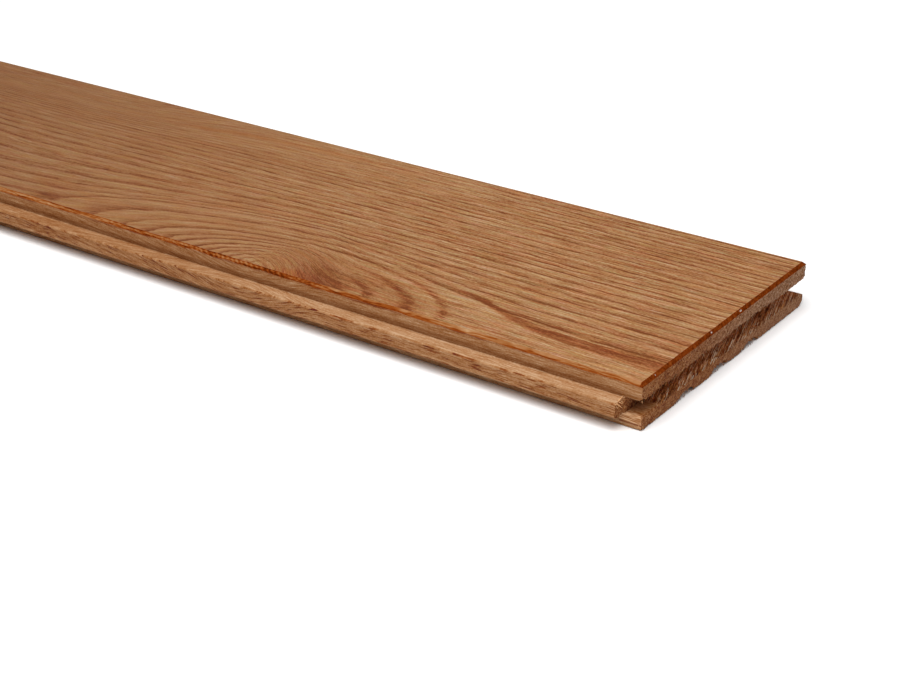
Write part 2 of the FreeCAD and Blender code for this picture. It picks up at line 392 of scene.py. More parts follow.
class Finish(Bench):
    """A material with the growth of the oak already in it."""

    def __init__(self, name, growth):
        self.material = bpy.data.materials.new(name)
        self.material.use_nodes = True
        super().__init__(self.material.node_tree)
        self.shader = self.tree.nodes["Principled BSDF"]
        oak = self.node("ShaderNodeGroup")
        oak.node_tree = growth
        self.along = oak.outputs["Along"]
        self.across = oak.outputs["Across"]
        self.depth = oak.outputs["Depth"]
        self.level = oak.outputs["Level"]
        self.fibre = oak.outputs["Fibre"]
        self.ring = oak.outputs["Ring"]
        self.knot = oak.outputs["Knot"]

    def grain(self, length, width, seed, detail=1.0, rough=0.5, sway=1.0):
        """Noise drawn out along the fibres: streaks about so long and wide, in millimetres.

        Sway is how much of the fibres' bend round the knot it follows.
        """
        bend = self.add(self.level, self.times(self.minus(self.fibre, self.level), sway))
        place = self.where(
            self.times(self.along, 1 / length),
            self.times(self.level, 1 / length),
            self.times(bend, 1 / width),
        )
        return self.noise(place, detail=detail, rough=rough, seed=seed)

    def place(self):
        """Where a point is, in millimetres, for what doesn't follow the grain."""
        return self.where(self.across, self.depth, self.along)

    def around(self, reach):
        """1 where a year starts, falling to 0 as far as reach on both sides."""
        part = self.calc("FRACT", self.ring)
        return self.rise(self.calc("ABSOLUTE", self.minus(part, 0.5)), 0.5 - reach, 0.5)

    def early(self, reach):
        """1 where a year starts, falling to 0 as the share reach of its growth is past."""
        part = self.calc("FRACT", self.ring)
        return self.add(self.rise(part, reach, 0.0), self.rise(part, 0.9, 1.0))

    def done(self, colour, roughness, height, bump):
        self.feed(self.shader.inputs["Base Color"], colour)
        self.feed(self.shader.inputs["Roughness"], roughness)
        relief = self.node("ShaderNodeBump")
        relief.inputs["Strength"].default_value = 1.0
        relief.inputs["Distance"].default_value = bump * MM
        self.feed(relief.inputs["Height"], height)
        self.feed(self.shader.inputs["Normal"], relief.outputs["Normal"])
        return self.material


# Marks on the face: places along the board, heights above its front edge, and how far each reaches

SOFTER = (-115.0, -295.0)
FAINT_MIDDLE = (-190.0, -290.0)
FAINT_BACK = (-115.0, -170.0)
SWIRL_LINES = (-135.0, -62.0)
KNOT_RIM = 30.4
RIM_ENDS = (-200.0, -128.0)
BAND_START = (-104.0, -84.0)
BAND_HEIGHT = 14.2
BAND_SAG = (-99.0, 31.0, 13.0)
BAND_WIDENS = (-92.0, -25.0)
SMUDGE = (-149.0, 5.0, 13.0)
SMUDGE_LEAN = -0.8
SMUDGE_HEIGHT = (4.0, 12.0)
FOOT = (-305.0, 6.0)
FOOT_HEIGHT = (4.0, 5.0)
EMBER = (-160.0, 9.0)
GLOW_YEAR = (22.0, 0.7)
# Where painted shade makes the face darker and browner away from the grooved end, and where it eases again
SHADED_BROWN = (-90.0, -460.0)
LESS_SHADED_BROWN = (-470.0, -700.0)


class Face(Finish):
    """The face, with the streaks that its marks share and the zones in which they differ."""

    def __init__(self, growth):
        super().__init__("satin oak face", growth)
        self.year = self.calc("FLOOR", self.add(self.ring, 0.15))
        self.streak = self.grain(34.0, 0.8, seed=21.0, detail=1.0)
        self.thread = self.grain(14.0, 0.44, seed=26.0, detail=1.0)
        self.dash = self.rise(self.grain(13.0, 0.6, seed=31.0), 0.42, 0.6)

        # Years are crisp at the grooved end and softer further along, and hardly show at the back there
        self.soft = self.rise(self.along, *SOFTER)
        self.crisp = self.minus(1.0, self.times(self.soft, 0.45))
        calm = self.calc(
            "MAXIMUM",
            self.times(self.rise(self.along, *FAINT_MIDDLE), self.rise(self.level, 60.0, 84.0), 0.05),
            self.times(self.rise(self.along, *FAINT_BACK), self.rise(self.level, 92.0, 106.0), 0.6),
        )
        self.quiet = self.minus(1.0, calm)

        # The knot has a plain heart, crowded rings to its left and ragged ones to its right
        self.plain = self.times(self.rise(self.knot, 30.0, 24.0), self.rise(self.along, -190.0, -165.0))
        self.heart = self.times(self.rise(self.knot, 27.0, 23.0), self.rise(self.along, -192.0, -170.0))
        self.crowded = self.times(self.rise(self.knot, 36.0, 28.0), self.rise(self.along, -178.0, -192.0))
        self.flank = self.times(self.rise(self.knot, 34.0, 29.0), self.rise(self.along, -150.0, -125.0))
        lean = self.minus(self.minus(self.along, SMUDGE[0]), self.times(self.level, SMUDGE_LEAN))
        self.smudge = self.times(self.hill(lean, *SMUDGE[1:]), self.hill(self.level, *SMUDGE_HEIGHT))

        # A year starts with a thin line of open pores, and fades
        self.start = self.add(
            self.times(self.early(0.2), self.crisp, self.add(0.2, self.times(self.dash, 0.45))),
            self.times(self.early(0.5), 0.4),
            self.times(self.early(0.8), self.add(0.2, self.times(self.soft, 0.2))),
        )
        self.line = self.times(
            self.start, self.weight(), self.quiet, self.minus(1.0, self.flank),
            self.add(1.0, self.times(self.crowded, 0.5), self.times(self.heart, -0.75)),
        )
        pore = self.grain(2.6, 0.45, seed=41.0)
        self.pores = self.times(
            self.rise(pore, 0.54, 0.66), self.crisp, self.add(0.14, self.times(self.start, 0.2)),
        )
        jagged = self.rise(self.grain(5.0, 0.9, seed=51.0), 0.4, 0.6)
        self.ripple = self.times(self.flank, self.around(0.3), self.add(0.21, self.times(jagged, 0.2)))
        self.band = self.streaky_band()

    def weight(self):
        """How dark the line is with which a year starts."""
        mood = self.chance(self.year, seed=2.0)
        uneven = self.grain(44.0, 3.0, seed=16.0)
        weight = self.add(
            0.29,
            self.times(mood, 0.12),
            self.swing(uneven, 0.3),
            self.times(self.soft, -0.11),
            self.times(self.between(self.along, *SWIRL_LINES, 14.0), -0.05),
        )
        return self.calc("MAXIMUM", weight, 0.06)

    def streaky_band(self):
        """A broad streaky band that comes in from the grooved end and sags before it ends."""
        place, reach, drop = BAND_SAG
        sag = self.times(self.hill(self.along, place, reach), drop)
        spread = self.add(1.4, self.times(self.rise(self.along, *BAND_WIDENS), 1.9))
        ragged = self.swing(self.streak, 3.0)
        off = self.add(self.minus(self.level, BAND_HEIGHT), self.times(sag, -1.0), ragged)
        return self.times(
            self.rise(self.calc("ABSOLUTE", self.calc("DIVIDE", off, spread)), 1.25, 0.6),
            self.rise(self.along, *BAND_START),
            self.add(0.34, self.times(self.thread, 0.12)),
        )

    def light(self):
        """How light the wood is before its years and marks darken it."""
        cloud = self.grain(80.0, 12.0, seed=11.0, detail=2.0)
        fleck = self.grain(1.1, 0.6, seed=46.0)
        vein = self.calc("ABSOLUTE", self.minus(self.grain(52.0, 2.2, seed=36.0, detail=2.0, rough=0.4), 0.5))
        return self.add(
            0.62,
            self.swing(cloud, 0.24),
            self.swing(
                self.streak, self.add(0.2, self.times(self.crisp, 0.3)),
                self.minus(1.0, self.times(self.plain, 0.5)),
            ),
            self.swing(self.thread, self.crisp, 1.65, self.minus(1.0, self.times(self.plain, 0.4))),
            self.swing(fleck, self.crisp, 0.85),
            self.times(self.rise(vein, 0.035, 0.012), self.crisp, self.quiet, -0.15),
        )

    def dark(self):
        """How much the years and the marks take away from that."""
        broken = self.times(
            self.start, self.dash, self.crisp, self.quiet, 0.22,
            self.minus(1.0, self.flank), self.minus(1.0, self.heart),
        )
        rim = self.times(self.hill(self.knot, KNOT_RIM, 0.9), self.between(self.along, *RIM_ENDS, 12.0), 0.12)
        knot = self.add(self.times(self.smudge, 0.4), self.times(self.heart, 0.12))
        foot = self.times(self.hill(self.along, *FOOT), self.hill(self.level, *FOOT_HEIGHT), 0.3)
        return self.add(self.line, broken, self.pores, self.ripple, rim, self.band, knot, foot)

    def varied(self, wood):
        """The wood with streaks of slightly different hues, and some years more purple than others."""
        amount = self.minus(1.0, self.times(self.soft, 0.5))
        red = self.add(
            self.swing(self.grain(70.0, 4.0, seed=87.0), amount, 0.07),
            self.swing(self.grain(9.0, 0.6, seed=88.0), amount, 0.44),
            self.times(self.calc("MAXIMUM", self.band, self.ripple), 0.12),
        )
        blue = self.add(
            self.swing(self.grain(50.0, 3.0, seed=89.0), 0.16),
            self.swing(self.grain(8.0, 0.8, seed=90.0), 0.9),
        )
        chosen = self.rise(self.chance(self.year, seed=6.0), 0.35, 0.6)
        plum = self.calc("MAXIMUM", chosen, self.times(self.crowded, 0.8))
        purple = self.times(self.calc("MAXIMUM", self.line, self.smudge), plum, 0.25)
        less_red = self.minus(1.0, red)
        hue = self.where(
            self.add(1.0, red),
            self.minus(less_red, self.times(purple, 0.25)),
            self.add(less_red, blue, purple),
        )
        return self.mix(1.0, wood, hue, "MULTIPLY")

    def warmed(self, wood):
        """The wood with its orange places: a few streaks, one year beyond the knot and an ember in it."""
        warm = self.rise(self.grain(60.0, 4.0, seed=86.0), 0.5, 0.66)
        glow = self.times(
            self.hill(self.ring, *GLOW_YEAR),
            self.rise(self.along, -345.0, -300.0),
            self.rise(self.along, -150.0, -230.0),
        )
        ember = self.times(self.hill(self.along, *EMBER), self.rise(self.level, 9.0, 2.0), 1.3)
        warmth = self.calc("MAXIMUM", self.times(warm, 0.3), self.add(self.times(glow, 0.8), ember))
        return self.mix(warmth, wood, self.mix(1.0, wood, (1.0, 0.8, 0.55, 1.0), "MULTIPLY"))

    def shaded_and_browned(self, wood):
        """The wood darker and browner away from the grooved end: painted shade for the light falling off
        along the board, with a browner hue.
        """
        drift = self.noise(self.where(self.times(self.along, 0.004), 0.0, 0.0), seed=81.0)
        shade_and_brown = self.minus(
            self.rise(self.along, *SHADED_BROWN), self.times(self.rise(self.along, *LESS_SHADED_BROWN), drift, 0.9),
        )
        return self.mix(shade_and_brown, wood, (0.74, 0.66, 0.58, 1.0), "MULTIPLY")


def face_finish(growth):
    """Satin finish on the face, over stained oak."""
    oak = Face(growth)
    wood = oak.ramp(oak.minus(oak.light(), oak.dark()), (
        (0.0, paint(122, 72, 46)),
        (0.18, paint(144, 90, 56)),
        (0.36, paint(161, 110, 72)),
        (0.52, paint(172, 125, 86)),
        (0.72, paint(182, 140, 100)),
        (1.0, paint(204, 166, 128)),
    ))
    wood = oak.shaded_and_browned(oak.warmed(oak.varied(wood)))
    rough = oak.add(0.45, oak.times(oak.streak, 0.12))
    height = oak.add(oak.times(oak.pores, -2.0), oak.times(oak.thread, 0.3))
    oak.shader.inputs["Specular IOR Level"].default_value = 0.25
    return oak.done(wood, rough, height, bump=0.05)


def milled_wood(oak, streak, thread, front):
    """Bare wood along the sides and underneath, and where it is nicked, with painted light on the tongue's
    top and painted shade on its nose, just above it and in the relief channels.
    """
    cloud = oak.grain(45.0, 3.0, seed=12.0, detail=2.0, sway=0.2)
    dash = oak.grain(7.0, 0.55, seed=32.0, detail=1.0, sway=0.4)
    fleck = oak.grain(0.9, 0.6, seed=37.0)
    nose = oak.rise(oak.across, -5.3, -5.7)
    ledge = oak.times(
        oak.rise(oak.across, -5.7, -5.3), oak.rise(oak.across, 0.6, 0.2),
        oak.between(oak.depth, -7.8, -7.2, 0.05),
    )
    # Painted shade on the band of the upper lip's front just above the tongue
    shade_above_tongue = oak.times(front, oak.between(oak.depth, -7.25, -4.85, 0.15))
    foot = oak.times(front, oak.rise(oak.depth, -12.5, -15.0))
    # Painted shade inside the relief channels underneath
    channel = oak.times(
        oak.between(oak.depth, -18.8, -16.9, 0.15), oak.between(oak.across, 24.0, 91.0, 1.0),
    )
    marks = oak.times(oak.rise(dash, 0.55, 0.63), oak.add(0.05, oak.times(nose, 0.3)))
    tone = oak.add(
        0.505,
        # painted light on the tongue's top ledge, most near the grooved end, and painted shade on its upright
        # nose
        oak.times(ledge, oak.add(0.16, oak.times(oak.rise(oak.along, -150.0, -260.0), -0.1))),
        oak.times(shade_above_tongue, -0.05),
        oak.times(nose, -0.04),
        oak.times(foot, 0.02),
        oak.times(channel, -0.16),
        oak.times(front, oak.add(0.05, oak.times(oak.rise(oak.along, -200.0, -60.0), 0.06))),
        oak.swing(cloud, 0.45),
        oak.swing(streak, 0.75),
        oak.swing(thread, 0.8),
        oak.swing(fleck, 0.6),
    )
    wood = oak.ramp(oak.minus(tone, marks), (
        (0.0, paint(96, 46, 18)),
        (0.25, paint(138, 84, 48)),
        (0.5, paint(164, 114, 76)),
        (0.75, paint(186, 142, 104)),
        (1.0, paint(212, 176, 142)),
    ))
    reddened = oak.mix(1.0, wood, (1.0, 0.74, 0.52, 1.0), "MULTIPLY")
    return oak.mix(oak.times(marks, 1.6), wood, reddened), marks


def torn_groove(oak, wood):
    """The wood with the end groove's floor, which the cutter has torn except beside the front edge. Its
    colour is painted lighter deep in the groove, where shade falls, and darker at the mouth, where light
    reaches it.
    """
    mouth = oak.between(oak.along, -GROOVE_DEPTH - 0.2, 0.5, 0.1)
    height = oak.between(oak.depth, -LOWER_LIP - 1.6, -UPPER_LIP + 0.4, 0.05)
    arc = oak.add(oak.across, oak.times(oak.along, -CUTTER_RUN))
    sweep = oak.noise(
        oak.where(oak.times(arc, 0.9), oak.times(oak.along, 0.16), oak.times(oak.depth, 0.6)),
        detail=2.0, rough=0.6, seed=52.0,
    )
    scratch = oak.noise(
        oak.where(oak.times(arc, 2.2), oak.times(oak.along, 0.4), oak.depth), detail=1.0, seed=53.0,
    )
    furrows = oak.add(0.5, oak.swing(sweep, 3.0), oak.swing(scratch, 1.6))
    shreds = oak.ramp(furrows, (
        (0.0, paint(84, 36, 12)),
        (0.35, paint(158, 94, 52)),
        (0.65, paint(214, 148, 102)),
        (1.0, paint(255, 240, 214)),
    ))
    # Painted light and shade: the torn floor lighter at the back of the groove, where it lies in shade, and
    # darker at its mouth
    shreds = oak.shade(shreds, oak.minus(1.45, oak.times(oak.rise(oak.along, -4.0, -0.2), 0.9)))
    wood = oak.mix(oak.times(mouth, oak.rise(oak.across, 11.0, 16.0), height), wood, shreds)
    smooth = oak.times(mouth, oak.between(oak.across, 2.4, 13.5, 1.0), height)
    # Painted light: the smooth floor beside the front edge made lighter, where it lies in shade
    return oak.mix(smooth, wood, oak.shade(wood, 1.15))


def split_corner(oak, wood, thread):
    """The wood with the place where the tongue ends: it has split off and bared the lower lip."""
    corner = oak.between(oak.along, -9.4, 0.4, 0.3)
    slanted = oak.add(oak.across, oak.times(oak.along, 0.12))
    split = oak.times(
        corner, oak.rise(slanted, 2.4, 1.6), oak.rise(oak.depth, -16.7, -16.4),
        oak.between(oak.depth, -18.6, -LOWER_LIP + 0.3, 0.1),
    )
    fresh = oak.mix(oak.rise(thread, 0.3, 0.7), paint(158, 100, 60), paint(240, 196, 152))
    rim = oak.times(corner, oak.rise(oak.across, 1.0, 0.6), oak.hill(oak.depth, -16.9, 0.3))
    return oak.mix(oak.times(rim, 0.8), oak.mix(split, wood, fresh), paint(112, 54, 22))


def stain_run(oak, wood, front):
    """The wood with the stain that has run over the edge of the bevel."""
    ragged = oak.swing(oak.grain(6.0, 0.6, seed=91.0, sway=0.2), 1.2)
    strength = oak.rise(oak.grain(22.0, 2.0, seed=92.0, sway=0.2), 0.36, 0.6)
    run = oak.times(front, oak.hill(oak.add(oak.depth, ragged), -1.5, 0.34), strength)
    return oak.mix(oak.times(run, 0.8), wood, paint(124, 60, 20))


def bare_finish(growth):
    """Bare milled wood along the sides, underneath and in the grooves."""
    oak = Finish("bare oak", growth)
    streak = oak.grain(14.0, 0.8, seed=22.0, detail=2.0, rough=0.6, sway=0.3)
    thread = oak.grain(5.0, 0.4, seed=27.0, detail=1.0, sway=0.3)
    front = oak.rise(oak.across, 3.0, 1.0)
    wood, marks = milled_wood(oak, streak, thread, front)
    wood = torn_groove(oak, wood)
    wood = split_corner(oak, wood, thread)
    wood = stain_run(oak, wood, front)
    rough = oak.add(0.72, oak.times(streak, 0.1))
    height = oak.add(oak.times(streak, 0.6), oak.times(thread, 0.6), oak.times(marks, -1.5))
    oak.shader.inputs["Specular IOR Level"].default_value = 0.2
    return oak.done(wood, rough, height, bump=0.12)


def end_finish(growth):
    """End grain, warmer towards the tongued edge and greyer towards the grooved one."""
    oak = Finish("oak end grain", growth)
    warm = (
        (0.0, paint(104, 50, 18)),
        (0.5, paint(160, 102, 62)),
        (1.0, paint(198, 146, 104)),
    )
    grey = (
        (0.0, paint(112, 72, 46)),
        (0.5, paint(168, 122, 92)),
        (1.0, paint(206, 168, 138)),
    )
    place = oak.place()
    grit = oak.noise(place, scale=1.5, detail=2.0, rough=0.7, seed=61.0)
    speck = oak.noise(place, scale=3.2, detail=1.0, seed=62.0)
    rays = oak.noise(
        oak.where(oak.times(oak.level, 2.0), oak.times(oak.add(oak.across, oak.depth), 0.25), 0.0),
        detail=2.0, rough=0.6, seed=63.0,
    )
    early = oak.early(0.5)
    tone = oak.add(
        0.5,
        oak.swing(grit, 2.2),
        oak.swing(speck, 1.6),
        oak.swing(rays, 1.8),
        oak.times(early, -0.14),
    )
    low = oak.rise(oak.depth, -12.0, -14.0)
    greyed = oak.minus(oak.rise(oak.across, 10.0, 100.0), oak.times(low, 0.4))
    wood = oak.mix(oak.calc("MAXIMUM", greyed, 0.0), oak.ramp(tone, warm), oak.ramp(tone, grey))
    oak.shader.inputs["Specular IOR Level"].default_value = 0.15
    return oak.done(wood, 0.85, oak.add(grit, rays, speck), bump=0.45)


def bevel_finish(growth):
    """Stain pooled on the bevels: streaky on the long ones, where the plane tore fibres, even on the ends."""
    oak = Finish("stained bevel", growth)
    tones = (
        (0.0, paint(88, 34, 5, 0.0)),
        (0.2, paint(122, 51, 12, 0.0)),
        (0.4, paint(144, 74, 26, 0.0)),
        (0.6, paint(156, 99, 54, 0.0)),
        (0.8, paint(172, 121, 79, 0.0)),
        (1.0, paint(190, 149, 108, 0.0)),
    )
    streak = oak.grain(12.0, 0.8, seed=71.0, detail=2.0, rough=0.6, sway=0.4)
    thread = oak.grain(4.0, 0.4, seed=72.0, sway=0.4)
    patch = oak.grain(26.0, 3.0, seed=73.0, sway=0.2)
    far_end = oak.rise(oak.along, FAR_BEVEL + 0.2, FAR_BEVEL - 0.1)
    across_end = oak.add(oak.rise(oak.along, -1.5, -1.2), far_end)
    middle = oak.times(oak.rise(oak.along, -70.0, -125.0), oak.rise(oak.along, -330.0, -240.0))
    long_edge = oak.add(
        0.78,
        oak.times(middle, -0.2),
        oak.times(oak.hill(oak.along, -165.0, 26.0), -0.1),
        oak.swing(patch, 0.7),
        oak.swing(streak, 0.8),
        oak.swing(thread, 0.6),
    )
    waver = oak.swing(oak.grain(14.0, 4.0, seed=75.0, sway=0.2), 2.6)
    tremble = oak.swing(oak.grain(7.0, 3.0, seed=76.0, sway=0.2), 1.0)
    near_line = oak.times(oak.hill(oak.add(oak.depth, waver), -0.62, 0.2), oak.rise(streak, 0.4, 0.52))
    low_line = oak.times(
        oak.rise(oak.add(oak.depth, tremble), -0.88, -1.08),
        oak.add(0.5, oak.times(oak.rise(thread, 0.4, 0.55), 0.5)),
    )
    far = oak.rise(oak.along, -120.0, -200.0)
    top_line = oak.times(oak.rise(oak.add(oak.depth, oak.times(tremble, 0.5)), -0.42, -0.2), far, 0.35)
    turn = oak.add(oak.along, oak.times(oak.depth, 1.6), oak.times(waver, 1.5))
    twist = oak.calc("SINE", oak.times(turn, 2.3))
    rope = oak.times(oak.between(oak.along, -216.0, -162.0, 8.0), twist, 0.14)
    long_edge = oak.minus(
        long_edge, oak.add(oak.times(low_line, 0.45), oak.times(near_line, 0.4), top_line, rope),
    )
    speck = oak.noise(oak.place(), scale=0.9, detail=2.0, rough=0.6, seed=74.0)
    even = oak.add(0.16, oak.swing(speck, 0.9), oak.swing(thread, 0.4))
    tone = oak.add(oak.times(across_end, even), oak.times(oak.minus(1.0, across_end), long_edge))
    wood = oak.ramp(tone, tones)
    oak.shader.inputs["Specular IOR Level"].default_value = 0.0
    return oak.done(wood, 0.5, oak.add(streak, thread), bump=0.06)


def chip_finish(growth):
    """Loose lacquer, greyish white."""
    oak = Finish("lacquer chip", growth)
    place = oak.place()
    patch = oak.noise(place, scale=3.0, detail=2.0, seed=111.0)
    wood = oak.mix(oak.rise(patch, 0.35, 0.65), paint(150, 118, 96), paint(226, 214, 206))
    return oak.done(wood, 0.5, patch, bump=0.02)


def fibre_finish(growth):
    """Fibres torn out of the wood, paler than its surface, with painted shade darkening those low in the end
    groove and the fuzz along the bottom edge.
    """
    oak = Finish("torn fibre", growth)
    place = oak.place()
    patch = oak.noise(place, scale=0.6, detail=1.0, seed=101.0)
    fine = oak.noise(place, scale=4.0, detail=1.0, seed=102.0)
    splinter = oak.rise(oak.across, 1.5, 0.5)
    fringe = oak.rise(oak.depth, -17.0, -18.0)
    groove = oak.times(oak.between(oak.depth, -14.5, -7.0, 0.2), oak.rise(oak.across, 4.0, 8.0))
    tone = oak.add(
        0.5,
        oak.swing(patch, 2.6),
        oak.swing(fine, 0.6),
        oak.times(splinter, 0.5),
        # Painted shade: the fuzz along the bottom edge and the fibres low in the end groove made darker
        oak.times(fringe, -0.2),
        oak.times(groove, oak.rise(oak.depth, -9.5, -13.2), -0.28),
    )
    wood = oak.ramp(tone, (
        (0.0, paint(118, 62, 28)),
        (0.5, paint(176, 116, 70)),
        (1.0, paint(240, 188, 140)),
    ))
    oak.shader.inputs["Specular IOR Level"].default_value = 0.1
    return oak.done(wood, 0.9, fine, bump=0.02)


# The board


def take(board, kind, wanted):
    """Selects what is wanted of the board's faces, edges or vertices, in edit mode."""
    bpy.ops.object.mode_set(mode="OBJECT")
    mesh = board.data
    for part in (*mesh.vertices, *mesh.edges, *mesh.polygons):
        part.select = False
    for part in getattr(mesh, kind):
        part.select = wanted(part)
    bpy.ops.object.mode_set(mode="EDIT")


def slice_along(places):
    """Cuts all that is selected straight across at each place along the board."""
    for place in places:
        bpy.ops.mesh.select_all(action="SELECT")
        bpy.ops.mesh.bisect(plane_co=(place, 0.0, 0.0), plane_no=(1.0, 0.0, 0.0))


def slice_end(reach):
    """Cuts the last stretch before the grooved end into small facets, and leaves the rest alone."""
    start = NEAR_END - reach
    bpy.ops.mesh.select_mode(type="FACE")
    bpy.ops.mesh.select_all(action="SELECT")
    bpy.ops.mesh.bisect(plane_co=(start, 0.0, 0.0), plane_no=(1.0, 0.0, 0.0))
    take(bpy.context.active_object, "polygons", lambda facet: facet.center.x < start)
    bpy.ops.mesh.hide(unselected=False)
    cuts = [((NEAR_END - back * MM, 0.0, 0.0), (1.0, 0.0, 0.0)) for back in END_CUTS]
    rows = int((HIGH.z - LOW.z) / END_ROW)
    cuts += [((0.0, 0.0, LOW.z + END_ROW * row), (0.0, 0.0, 1.0)) for row in range(1, rows + 1)]
    columns = int((HIGH.y - LOW.y) / END_COLUMN)
    cuts += [((0.0, LOW.y + END_COLUMN * column, 0.0), (0.0, 1.0, 0.0)) for column in range(1, columns + 1)]
    for place, facing in cuts:
        bpy.ops.mesh.select_all(action="SELECT")
        bpy.ops.mesh.bisect(plane_co=place, plane_no=facing)
    bpy.ops.mesh.reveal(select=False)
    bpy.ops.mesh.select_mode(type="VERT")


def roughen(board, name, weight, way, amount, size, turn=(0.0, 0.0, 0.0), level=0.0, contrast=1.0):
    """Moves the board's surface one way by a cloudy pattern, as far as the weight of each place allows.

    The pattern's cells have the given size in millimetres, and turn slants them.
    """
    group = board.vertex_groups.new(name=name)
    for spot in board.data.vertices:
        share = weight(
            (spot.co.x - NEAR_END) / MM, (spot.co.y - FRONT) / MM, (spot.co.z - FACE) / MM,
        )
        if share > 0.0:
            group.add([spot.index], min(share, 1.0), "REPLACE")
    clouds = bpy.data.textures.new(name, "CLOUDS")
    clouds.noise_scale = 1.0
    clouds.noise_depth = 2
    clouds.contrast = contrast
    clouds.use_clamp = True
    gauge = bpy.data.objects.new(name, None)
    bpy.context.scene.collection.objects.link(gauge)
    gauge.scale = [value * MM for value in size]
    gauge.rotation_euler = [math.radians(value) for value in turn]
    bpy.context.view_layer.update()
    push = board.modifiers.new(name, "DISPLACE")
    push.vertex_group = name
    push.texture = clouds
    push.texture_coords = "OBJECT"
    push.texture_coords_object = gauge
    push.direction = way
    push.mid_level = level
    push.strength = amount * MM
    bpy.ops.object.select_all(action="DESELECT")
    board.select_set(True)
    bpy.context.view_layer.objects.active = board
    bpy.ops.object.modifier_apply(modifier=name)
    board.vertex_groups.clear()
    bpy.data.objects.remove(gauge)


def fade(value, full, none):
    """1 at full, 0 at none, straight between them."""
    return min(max((value - none) / (full - none), 0.0), 1.0)


def near(value, place, reach):
    """1 closer to place than reach, 0 elsewhere."""
    return 1.0 if abs(value - place) < reach else 0.0


def wear(board):
    """The saw, the cutters and the plane leave no edge of bare wood quite straight."""
    roughen(
        board, "end_pits", lambda along, across, depth: fade(along, -0.02, -0.1) * fade(depth, -1.6, -1.1),
        "X", -0.4, (1.0, 0.8, 0.8), contrast=2.2,
    )
    roughen(
        board, "under_edge",
        lambda along, across, depth: fade(along, 0.0, -3.0) * fade(depth, -THICK, -16.0),
        "Z", 0.9, (3.0, 1.1, 9.0), contrast=2.4,
    )
    roughen(
        board, "channel_edge",
        lambda along, across, depth: fade(along, 0.0, -4.0) * fade(depth, -THICK, -14.5)
        * max(near(across, place, 7.4) for place in CHANNELS),
        "Z", 1.5, (3.0, 1.6, 9.0), contrast=3.0,
    )
    roughen(
        board, "upper_lip_edge",
        lambda along, across, depth: fade(along, 0.0, -2.5) * near(depth, -UPPER_LIP, 2.2)
        * fade(depth, -UPPER_LIP, -UPPER_LIP + 2.2) * fade(across, 92.0, 104.0),
        "Z", 1.3, (3.0, 1.0, 9.0), contrast=3.0,
    )
    roughen(
        board, "groove_floor",
        lambda along, across, depth: near(depth, -LOWER_LIP, 0.1) * fade(along, -0.8, 0.0)
        * fade(across, 16.0, 11.0),
        "Z", -0.75, (1.0, 9.0, 9.0), turn=(0.0, 0.0, CUTTER_SLANT), contrast=2.2,
    )
    roughen(
        board, "lower_lip_edge",
        lambda along, across, depth: fade(along, -0.02, -0.6) * fade(depth, -LOWER_LIP, -LOWER_LIP - 1.5)
        * near(depth, -LOWER_LIP - 1.0, 1.5),
        "Z", -0.45, (3.0, 1.3, 9.0), contrast=2.0,
    )
    roughen(
        board, "tongue_end",
        lambda along, across, depth: fade(along, -GROOVE_DEPTH, -9.6) * near(along, -8.2, 1.3)
        * fade(across, -0.4, 0.4) * near(depth, -10.3, 3.1),
        "X", -0.6, (1.6, 1.6, 1.2), contrast=1.4,
    )
    roughen(
        board, "split_wedge",
        lambda along, across, depth: near(along, -4.5, 5.4) * fade(across, 0.4, 2.8)
        * fade(depth, -LOWER_LIP, -THICK) * near(depth, -16.3, 2.9) * fade(along, -9.8, -8.6),
        "Z", -3.1, (6.0, 2.0, 9.0), contrast=0.4,
    )
    roughen(
        board, "front_bevel_low",
        lambda along, across, depth: near(across, 0.0, 0.05) * near(depth, -BEVEL / MM, 0.05),
        "Z", 0.7, (6.0, 50.0, 50.0), level=0.5, contrast=1.8,
    )
    roughen(
        board, "front_bevel_top",
        lambda along, across, depth: near(across, BEVEL / MM, 0.05) * near(depth, 0.0, 0.05)
        * fade(along, -1.6, -1.2),
        "Y", 0.5, (9.0, 50.0, 50.0), level=0.5, contrast=1.8,
    )


def milled_board():
    """A copy of the milled solid, merged and cut across into short lengths."""
    bpy.ops.object.select_all(action="DESELECT")
    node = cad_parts[NODE]
    board = node.copy()
    board.data = node.data.copy()
    board.name = "oak_board"
    board.parent = None
    for key in list(board.keys()):
        del board[key]
    bpy.context.scene.collection.objects.link(board)
    bpy.context.view_layer.objects.active = board
    board.select_set(True)
    bpy.ops.object.mode_set(mode="EDIT")
    bpy.ops.mesh.select_mode(type="VERT")
    bpy.ops.mesh.select_all(action="SELECT")
    bpy.ops.mesh.remove_doubles(threshold=0.001 * MM)
    bpy.ops.mesh.dissolve_limited(angle_limit=math.radians(0.4))
    places = []
    place = NEAR_END - SEEN_STEP
    while place > LOW.x + FAR_STEP:
        places.append(place)
        place -= SEEN_STEP if place > NEAR_END - SEEN_LENGTH else FAR_STEP
    slice_along(places)
    slice_end(END_REACH)
    bpy.ops.object.mode_set(mode="OBJECT")
    return board


def dress(board, finishes):
    """Gives each facet of the board the finish of its place."""
    mesh = board.data
    mesh.materials.clear()
    for finish in finishes.values():
        mesh.materials.append(finish)
    order = list(finishes)
    for facet in mesh.polygons:
        middle = facet.center
        if facet.normal.z > 0.99 and middle.z > FACE - 0.1 * MM:
            kind = "face"
        elif middle.z > FACE - BEVEL and facet.normal.z > 0.4:
            kind = "bevel"
        elif abs(facet.normal.x) > 0.7:
            kind = "end"
        else:
            kind = "bare"
        facet.material_index = order.index(kind)


# Fibres that the cutters tore out


